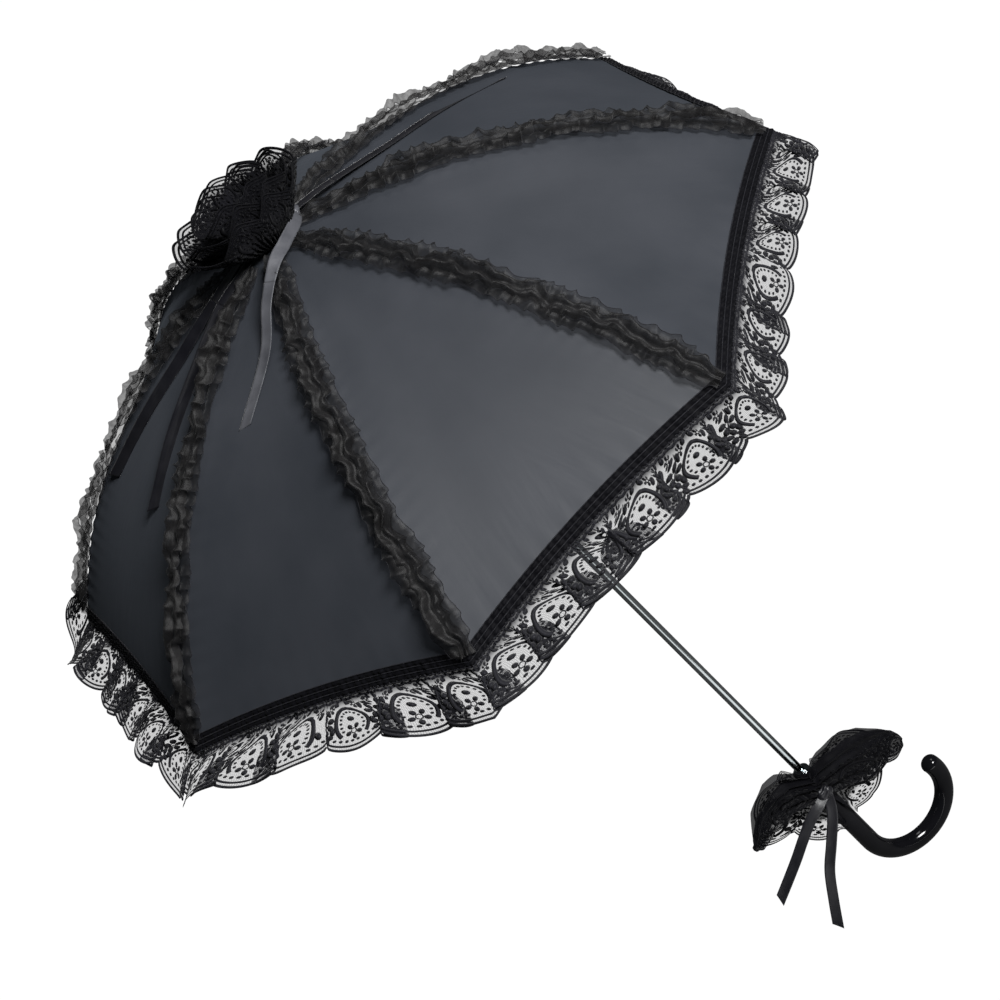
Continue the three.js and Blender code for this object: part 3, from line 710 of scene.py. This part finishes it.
def rosette_point(layer, flat):
    """A funnel round the ferrule, wide at the sides and steeper in front and behind."""
    repeats, r0, z0, r1, z1, sag = ROSETTE[layer]
    u, v, h = flat[..., 0], flat[..., 1], flat[..., 2]
    turn = 2 * PI * u / (repeats * SCALLOP)
    t = (v + CROWN_PLAIN) / (LACE_DEEP + CROWN_PLAIN)
    crest = np.sin(2 * PI * u / SCALLOP - PI / 2)
    second = np.sin(turn * 3 + 1.7 * layer)
    fine = np.sin(2 * PI * u / 5.6 + 2.0 * np.sin(turn * 5 + layer)) * (1 - smooth(t, 0.25, 0.9))
    angle = turn + 0.5 * layer + (0.05 * second + 0.03 * np.sin(2 * PI * u / SCALLOP)) * t
    steep = np.sin(angle) ** 2 * (0.46 + 0.1 * np.sin(angle))
    uneven = 1 - steep * t - 0.05 * np.cos(angle) * t
    lean = math.atan2(z1 - z0, r1 - r0)
    off = (3.2 * crest + 2.4 * second) * t ** 1.5 + 1.5 * fine + h
    r = r0 + (r1 - r0) * t * uneven - off * math.sin(lean)
    z = z0 + (z1 - z0 + 13 * steep) * t + sag * np.sin(PI * t) + off * math.cos(lean)
    r = np.maximum(r, 7.0 + 0.8 * layer)
    return np.stack([r * np.cos(angle), r * np.sin(angle), z + APEX_Z], -1)


def make_rosette():
    for layer, (repeats, *_rest) in enumerate(ROSETTE):
        net, cords = lace_pair((f"rosette_net_{layer + 1}", f"rosette_cords_{layer + 1}"),
                               lambda flat: rosette_point(layer, flat),
                               lace_net(repeats, 1.4, 34, CROWN_PLAIN), lace_cords(repeats),
                               (CROWN_NET, SHADED_CORD), "shaft")
        if layer == 0:
            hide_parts("crown_rosette")


# ------------------------------------------------------------------ lace bow at the handle
# For each side of the bow: the way it points; the skirt's angle and reach from top to bottom; and
# the pouf's distance from the axis, height of its middle over the knot, and width.
BOW = {
    "right": (1, [(78, 26), (55, 30), (31, 44), (12, 60), (-13, 84), (-33, 84), (-60, 64), (-80, 63)],
              [(0, 9, 32), (6, 9, 42), (22, 5, 52), (44, -5, 60), (64, -12, 56), (80, -21, 36),
               (88, -24, 28)]),
    "left": (-1, [(100, 30), (84, 37), (66, 46), (53, 54), (29, 64), (11, 74), (-2, 72), (-27, 51), (-61, 59),
                  (-83, 59)],
             [(0, 9, 32), (6, 14, 40), (20, 27, 42), (35, 32, 38), (61, 24, 30), (77, 13, 20), (84, 12, 18)]),
}
BOW_FRONT = -12.5  # the bow passes in front of the handle
BOW_PLAIN = 24.0  # plain net above the pattern
BOW_REPEATS = 4
BOW_LONG = BOW_REPEATS * SCALLOP  # flat lace in the skirt, and in the pouf, of one side


def skirt_point(flat, side):
    """The scalloped skirt of the bow: a gathered fan from the knot that passes behind the handle."""
    way, edge, _pouf = BOW[side]
    u, v, h = flat[..., 0], flat[..., 1], flat[..., 2]
    place = u / BOW_LONG
    t = (v + BOW_PLAIN) / (LACE_DEEP + BOW_PLAIN)
    place = place + 0.012 * np.sin(2 * PI * u / SCALLOP + 1) * np.sin(PI * place)
    angles, reaches = np.array(edge, float).T
    angle = np.interp(place, np.linspace(0, 1, len(angles)), angles)
    reach = np.interp(place, np.linspace(0, 1, len(angles)), reaches)
    r = 5.0 + (reach * 1.04 - 5.0) * t
    a = np.radians(angle)
    x, z = r * np.cos(a), r * np.sin(a)
    clear = smooth(np.abs(x), 6.5, 14)
    fine = 1.7 * np.sin(2 * PI * u / 5.6 + 1.5 * np.sin(u / 19.0 + way)) * (1 - smooth(t, 0.3, 0.92))
    folds = 3.4 * np.sin(2 * PI * u / (1.31 * SCALLOP) + way) * t ** 1.4
    y = BOW_FRONT + 13.0 * clear + (fine + folds) * (0.2 + 0.8 * clear) + h
    return np.stack([way * x, y, z + BOW_Z], -1)


def pouf_point(flat, side):
    """The full loop of lace over the skirt: out along its front, round the end and back behind."""
    way, _edge, pouf = BOW[side]
    u, v, h = flat[..., 0], flat[..., 1], flat[..., 2]
    t = np.clip(u / BOW_LONG, 0, 1)
    out = np.sin(PI * t) ** 0.85
    far, middle, wide = np.array(pouf, float).T
    across = np.clip((v + BOW_PLAIN) / (LACE_DEEP + BOW_PLAIN), 0, 1.05)
    reach = far[-1] * (0.88 + 0.12 * np.sin(PI * np.clip(across, 0, 1)) ** 0.6)
    x = reach * out
    near = 1 - smooth(out, 0.05, 0.8)
    pleat = np.sin(2 * PI * 4.0 * across + 1.3 * way + 2.0 * t) * (1.0 + 1.8 * near)
    crumple = 1.5 * np.sin(x / 7.0 + 5 * across + way) * smooth(x, 5, 30)
    puff = np.sin(PI * np.clip(x / 90.0, 0, 1)) ** 0.7
    y = BOW_FRONT - 1.0 - np.cos(PI * t) * 8.5 * puff + 4.0 * puff + pleat + crumple + h
    z = np.interp(x, far, middle) + np.interp(x, far, wide) * (0.52 - 1.02 * across)
    return np.stack([way * x, y, z + BOW_Z], -1)


def make_bow():
    """A skirt and a pouf of the same lace on each side of the handle."""
    for side in BOW:
        for kind, material, point in (("skirt", BOW_NET, skirt_point), ("pouf", DENSE_NET, pouf_point)):
            net, cords = lace_pair((f"bow_{kind}_{side}", f"bow_{kind}_cords_{side}"),
                                   lambda flat: point(flat, side),
                                   lace_net(BOW_REPEATS, 1.5, 34, BOW_PLAIN), lace_cords(BOW_REPEATS),
                                   (material, SHADED_CORD), "shaft")
            if (kind, side) == ("skirt", "right"):
                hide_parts("handle_lace_bow")


def lathe(profile, steps):
    """A surface turned about the shaft's axis from points (radius, height)."""
    profile = np.asarray(profile, float)
    angle = 2 * PI * np.arange(steps) / steps
    points = np.stack([
        profile[:, 0][:, None] * np.cos(angle)[None],
        profile[:, 0][:, None] * np.sin(angle)[None],
        np.repeat(profile[:, 1][:, None], steps, 1),
    ], -1)
    return points, grid_faces(len(profile), steps, closed=True)


def make_wrap():
    """The gathered band of satin that ties the bow to the handle."""
    t = np.linspace(0, 2 * PI, 33)
    ring = np.stack([11.0 + 1.7 * np.sin(t), BOW_Z + 8.0 * np.cos(t)], -1)
    points, faces = lathe(ring, 96)
    angle = np.arctan2(points[..., 1], points[..., 0])
    folds = 1 + 0.035 * np.sin(6 * (points[..., 2] - BOW_Z) / 3.0 + 2 * np.sin(3 * angle))
    points[..., :2] *= folds[..., None]
    flat = np.stack([angle * 12, points[..., 2]], -1)
    make_piece("bow_wrap", [(points, faces, 0, flat)], [RIBBON], "shaft")


def knot(centre, radii, seed):
    """A pulled ribbon knot: a rounded form with folds that run round it."""
    theta, phi = np.meshgrid(np.linspace(0.02, PI - 0.02, 40), np.linspace(0, 2 * PI, 64, endpoint=False),
                             indexing="ij")
    shape = np.stack([np.cos(theta), np.sin(theta) * np.cos(phi), np.sin(theta) * np.sin(phi)], -1)
    fold = 1 + 0.07 * np.sin(7 * phi + 3 * np.sin(theta * 2 + seed)) * np.sin(theta)
    pinch = 1 - 0.22 * np.exp(-((theta - PI / 2) / 0.35) ** 2)
    shape[..., 1:] *= (fold * pinch)[..., None]
    points = np.asarray(centre) + shape * np.asarray(radii)
    flat = np.stack([phi * 8, theta * 8], -1)
    return points, grid_faces(40, 64, closed=True), 0, flat


def spline(points, count):
    """A smooth line through the points, evenly stepped."""
    points = np.asarray(points, float)
    ends = np.vstack([2 * points[0] - points[1], points, 2 * points[-1] - points[-2]])
    fine = []
    for i in range(len(points) - 1):
        p0, p1, p2, p3 = ends[i:i + 4]
        t = np.linspace(0, 1, 24, endpoint=False)[:, None]
        fine.append(0.5 * (2 * p1 + (p2 - p0) * t + (2 * p0 - 5 * p1 + 4 * p2 - p3) * t ** 2
                           + (3 * p1 - p0 - 3 * p2 + p3) * t ** 3))
    fine = np.vstack([*fine, points[-1:]])
    far = np.concatenate([[0], np.cumsum(np.linalg.norm(np.diff(fine, axis=0), axis=1))])
    even = np.linspace(0, far[-1], count)
    return np.stack([np.interp(even, far, fine[:, c]) for c in range(points.shape[1])], -1), far[-1]


def strip(line, across, wide, cut=0.0, crown=0.4):
    """A ribbon along a line; across is its width direction at each point, cut slants its end."""
    w = np.linspace(-1, 1, 9)
    ahead = np.gradient(line, axis=0)
    ahead /= np.linalg.norm(ahead, axis=1, keepdims=True) + 1e-9
    across = across - (across * ahead).sum(1, keepdims=True) * ahead
    across /= np.linalg.norm(across, axis=1, keepdims=True)
    out = np.cross(ahead, across)
    step = smooth(np.linspace(0, 1, len(line)), 0.8, 1.0)
    points = (line[:, None] + across[:, None] * (w * wide / 2)[None, :, None]
              + out[:, None] * (crown * (1 - w ** 2))[None, :, None]
              + ahead[:, None] * (w[None] * cut * step[:, None])[..., None])
    far = np.arange(len(line))[:, None] * np.linalg.norm(line[1] - line[0]) + 0 * w[None]
    flat = np.stack([np.repeat((w * wide / 2)[None], len(line), 0), far], -1)
    return points, grid_faces(len(line), len(w)), 0, flat


HANDLE_TAILS = [  # the line of each tail, and how far its end is cut at a slant
    ([(1, -17.5, 50), (-5, -21, 39), (-13, -22.5, 28), (-30, -24, 10), (-49, -24.5, -11), (-66, -26, -38),
      (-81, -27.5, -64)], -4.0),
    ([(-2, -17.5, 51), (-12, -21, 51), (-28, -22, 47), (-46, -22.5, 38), (-63, -22.5, 28), (-84, -22.5, 17),
      (-101, -22, 8)], -4.0),
]
TAIL_FACE = (-0.05, -0.84, 0.55)  # the way the hanging tails face


def make_handle_ribbon():
    """The knot on the bow's wrap and its two hanging tails, cut at a slant."""
    piece = make_piece("handle_knot", [knot((0, -16.0, BOW_Z), (8.5, 5.6, 7.6), 0.7)], [RIBBON],
                       "shaft")
    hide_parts("handle_ribbon")
    for i, (points, cut) in enumerate(HANDLE_TAILS):
        line, long = spline(points, 70)
        twist = 0.5 * np.sin(np.linspace(0, 3.0, len(line)) + i)[:, None]
        face = np.asarray(TAIL_FACE) + twist * np.array([0.7, 0.0, 0.7])
        across = np.cross(np.gradient(line, axis=0), face)
        tail = make_piece(f"handle_tail_{i + 1}", [strip(line, across, RIBBON_WIDE, cut)], [RIBBON],
                          "shaft")
        thicken(tail, 0.35, 0)


# ------------------------------------------------------------------ crook handle
def make_crook():
    """The glossy handle: straight grip, crook a little past a half circle, and a rounded end."""
    rings = [(0.0, z, 0.0, 1.0) for z in np.linspace(HANDLE_TOP_Z - 1.6, CROOK_Z, 40)]
    rings = [(0.0, HANDLE_TOP_Z, 0.0, 0.88), (0.0, HANDLE_TOP_Z - 0.5, 0.0, 0.955)] + rings
    for a in np.linspace(0, CROOK_TURN, 84)[1:]:
        rings.append((CROOK_R - CROOK_R * math.cos(a), CROOK_Z - CROOK_R * math.sin(a), a, 1.0))
    x, z = rings[-1][:2]
    for t in np.linspace(0, PI / 2, 14)[1:]:
        far = 0.75 * HANDLE_R * math.sin(t)
        rings.append((x + far * math.sin(CROOK_TURN), z - far * math.cos(CROOK_TURN), CROOK_TURN,
                      max(math.cos(t), 0.02)))
    x, z, turn, scale = np.array(rings).T[..., None]
    angle = 2 * PI * np.arange(56)[None] / 56
    radius = HANDLE_R * scale
    points = np.stack([
        x + radius * np.cos(angle) * np.cos(turn),
        radius * np.sin(angle) + 0 * turn,
        z + radius * np.cos(angle) * np.sin(turn),
    ], -1)
    parts = [(points, grid_faces(len(rings), 56, closed=True), 0, None)]
    piece = make_piece("crook_handle", parts, [GLOSS], "shaft")
    close_ends(piece)
    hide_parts("handle_crook")


def close_ends(piece):
    """Fills the open rings at the ends of a tube."""
    mesh = bmesh.new()
    mesh.from_mesh(piece.data)
    bmesh.ops.holes_fill(mesh, edges=[e for e in mesh.edges if e.is_boundary], sides=0)
    bmesh.ops.recalc_face_normals(mesh, faces=mesh.faces)
    mesh.to_mesh(piece.data)
    mesh.free()


# ------------------------------------------------------------------ satin tails of the crown
def on_canopy(azimuth, r, off):
    """A point over the canopy at an azimuth in degrees and a distance from the axis."""
    a = np.radians(np.asarray(azimuth, float))
    near = np.round((a - SECTOR / 2) / SECTOR) * SECTOR + SECTOR / 2
    d = np.abs(a - near)
    s = np.tan(d) / (FLAT_Y + FLAT_X * np.tan(d))
    x = r * np.cos(d) / (1 - FLAT_X * s)
    slope = np.arcsin(np.clip((x - HINGE_R) / ARC_R + math.sin(START_SLOPE), -1, 1))
    along = (slope - START_SLOPE) * ARC_R
    z = -ARC_R * (math.cos(START_SLOPE) - np.cos(slope)) + (off + cloth_dip(along, s)) / np.cos(slope)
    return np.stack([r * np.cos(a), r * np.sin(a), z + APEX_Z + CLOTH_OFF], -1)


# For each tail: azimuth, distance from the axis and height over the cloth along it; and the share of
# it that belongs to its start on the shaft.
CROWN_TAILS = [
    ([(-9, 31, 14), (-40, 31, 11), (-83, 36, 13), (-106, 52, 16), (-121, 80, 14), (-130, 108, 4),
      (-141, 155, 1.2)], 0.42),
    ([(-150, 20, 9), (-165, 36, 8), (-171, 62, 7.5), (-172.5, 100, 2.5), (-174, 160, 1.2),
      (-175, 214, 1.2)], 0.22),
    ([(165, 20, 9), (171, 36, 8), (174.5, 62, 7.5), (171, 110, 2.5), (166, 170, 1.2),
      (162.3, 229, 1.2)], 0.20),
    ([(-4, 20, 9), (1, 36, 8), (4, 62, 7.0), (9, 120, 2.2), (14, 180, 1.2), (18.3, 244, 1.2)], 0.20),
]
TAIL_TILT = (0, 34, 34, 0)  # how far each tail stands on edge, in degrees
TAIL_BODIES = [("ribbon_tail_1", 5), ("ribbon_tail_2", 5), ("ribbon_tail_3", 4), ("ribbon_tail_4", 1)]


def make_crown_ribbons():
    """The rosette's satin knot, the start of each tail, and the tails that lie on the canopy."""
    piece = make_piece("crown_knot", [knot((25, -4, APEX_Z + 10.5), (8.5, 9.5, 3.6), 1.9)], [GREY_RIBBON],
                       "shaft")
    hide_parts("crown_ribbon")
    for i, (stations, split) in enumerate(CROWN_TAILS):
        azimuth, r, off = np.array(stations, float).T
        points = on_canopy(azimuth, r, off)
        line, long = spline(points, 120)
        ahead = np.gradient(line, axis=0)
        outward = np.stack([line[:, 0], line[:, 1], np.full(len(line), 320.0)], -1)
        across = np.cross(ahead, outward)
        across /= np.linalg.norm(across, axis=1, keepdims=True)
        if i == 0:
            t = np.linspace(0, 1, len(line))
            upright = (1 - smooth(t, 0.15, 0.5))[:, None]
            across = across * (1 - 0.75 * upright) + np.array([0, 0, 1.0]) * 0.75 * upright
        else:
            normal = np.cross(across, ahead)
            normal /= np.linalg.norm(normal, axis=1, keepdims=True)
            tilt = np.radians(TAIL_TILT[i]) * smooth(np.linspace(0, 1, len(line)), 0.05, 0.4)[:, None]
            line = line + np.abs(np.sin(tilt)) * normal * np.sign(normal[:, 2:]) * RIBBON_WIDE * 0.42
            across = across * np.cos(tilt) + normal * np.sin(tilt)
        material = GREY_RIBBON if i == 0 else RIBBON
        points, _faces, _kind, flat = strip(line, across, RIBBON_WIDE, 4.0)
        cut = int(split * len(line))
        node, rib = TAIL_BODIES[i]
        for name, body, part in (("crown_tail_start", "shaft", slice(0, cut + 1)),
                                 ("crown_tail", f"rib_{rib}", slice(cut, None))):
            rows = points[part]
            tail = make_piece(f"{name}_{i + 1}", [(rows, grid_faces(len(rows), 9), 0, flat[part])],
                              [material], body)
            thicken(tail, 0.35, 0)
            if body != "shaft":
                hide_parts(node)


# ------------------------------------------------------------------ kept CAD nodes
def paint_nodes():
    """Better materials on the CAD nodes that stay in view."""
    steel = ("shaft_tube", "notch_wire", "runner_wire", "travel_stop", "handle_collar",
             "top_catch", "bottom_catch", "rib_", "stretcher_")
    plastic = ("top_notch", "runner")
    for name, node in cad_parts.items():
        if node.hide_render or not node.material_slots:
            continue
        material = None
        if name in plastic:
            material = PLASTIC
        elif name == "ferrule":
            material = GLOSS
        elif name.startswith(steel):
            material = STEEL
        if material:
            for place in node.material_slots:
                place.link = "OBJECT"
                place.material = material


# ------------------------------------------------------------------ floor and light, metres
FLOOR_HALF = 14.0
FLOOR_Z = -0.9
WORLD_DIM = 0.025  # light from all round
LIGHTS = [  # name, place, target, size, power
    ("key", (1.55, -2.55, 2.95), (0, 0, 0.7), 1.4, 172),
    ("top", (1.5, 0.2, 3.6), (0, 0, 0.75), 1.6, 18),
    ("low", (0, -0.62, -0.095), (0, -0.62, 0.5), (0.26, 0.95), 1.1),  # the bright line on the shaft
]


def make_stage():
    """A large pale floor. What the camera sees of it is evenly white, as in a studio cut-out."""
    m = Nodes("pale_floor", Roughness=0.9, Specular_IOR_Level=0.1)
    m.link(m.ramp(m.noise(m.place(), 3.0, 4.0), [(0.3, (0.16, 0.16, 0.16)), (0.7, (0.18, 0.18, 0.18))]),
           m.shader.inputs["Base Color"])
    lit = m.add("Emission", {"Strength": 1.1})
    rays = m.add("LightPath")
    part = m.add("Math", {1: 0.93}, operation="MULTIPLY")
    mix = m.add("MixShader")
    m.link(rays.outputs["Is Camera Ray"], part.inputs[0]).link(part.outputs[0], mix.inputs[0])
    m.link(m.shader.outputs[0], mix.inputs[1]).link(lit.outputs[0], mix.inputs[2])
    m.link(mix.outputs[0], m.tree.nodes["Material Output"].inputs["Surface"])
    mesh = bpy.data.meshes.new("floor")
    big, low = FLOOR_HALF, FLOOR_Z
    corners = [(-big, -big, low), (big, -big, low), (big, big, low), (-big, big, low)]
    mesh.from_pydata(corners, [], [(0, 1, 2, 3)])
    mesh.materials.append(m.material)
    floor = bpy.data.objects.new("floor", mesh)
    bpy.context.scene.collection.objects.link(floor)


def area_light(name, place, target, size, power):
    """A softbox: round for one size, a rectangle for two. The camera doesn't see it."""
    data = bpy.data.lights.new(name, "AREA")
    if isinstance(size, tuple):
        data.shape = "RECTANGLE"
        data.size, data.size_y = size
    else:
        data.shape = "DISK"
        data.size = size
    data.energy = power
    light = bpy.data.objects.new(name, data)
    light.location = place
    light.rotation_euler = (Vector(target) - Vector(place)).to_track_quat("-Z", "Y").to_euler()
    light.visible_camera = False
    bpy.context.scene.collection.objects.link(light)


def make_lights():
    """A white studio: dim light from all round, softboxes over the crook's side and low in front,
    and a white surround that only the camera sees."""
    world = bpy.data.worlds.new("studio")
    world.use_nodes = True
    tree = world.node_tree
    dim = tree.nodes["Background"]
    dim.inputs["Color"].default_value = (0.85, 0.93, 1, 1)
    dim.inputs["Strength"].default_value = WORLD_DIM
    white = tree.nodes.new("ShaderNodeBackground")
    white.inputs["Color"].default_value = (1, 1, 1, 1)
    white.inputs["Strength"].default_value = 1.0
    rays = tree.nodes.new("ShaderNodeLightPath")
    mix = tree.nodes.new("ShaderNodeMixShader")
    tree.links.new(rays.outputs["Is Camera Ray"], mix.inputs[0])
    tree.links.new(dim.outputs[0], mix.inputs[1])
    tree.links.new(white.outputs[0], mix.inputs[2])
    tree.links.new(mix.outputs[0], tree.nodes["World Output"].inputs["Surface"])
    bpy.context.scene.world = world
    for light in LIGHTS:
        area_light(*light)
    bpy.context.scene.view_settings.view_transform = "Standard"


for number in range(1, RIBS + 1):
    make_panel(number)
    make_ruffle(number)
    make_band(number)
    make_lace(number)
make_rosette()
make_wrap()
make_bow()
make_handle_ribbon()
make_crook()
make_crown_ribbons()
paint_nodes()
make_stage()
make_lights()
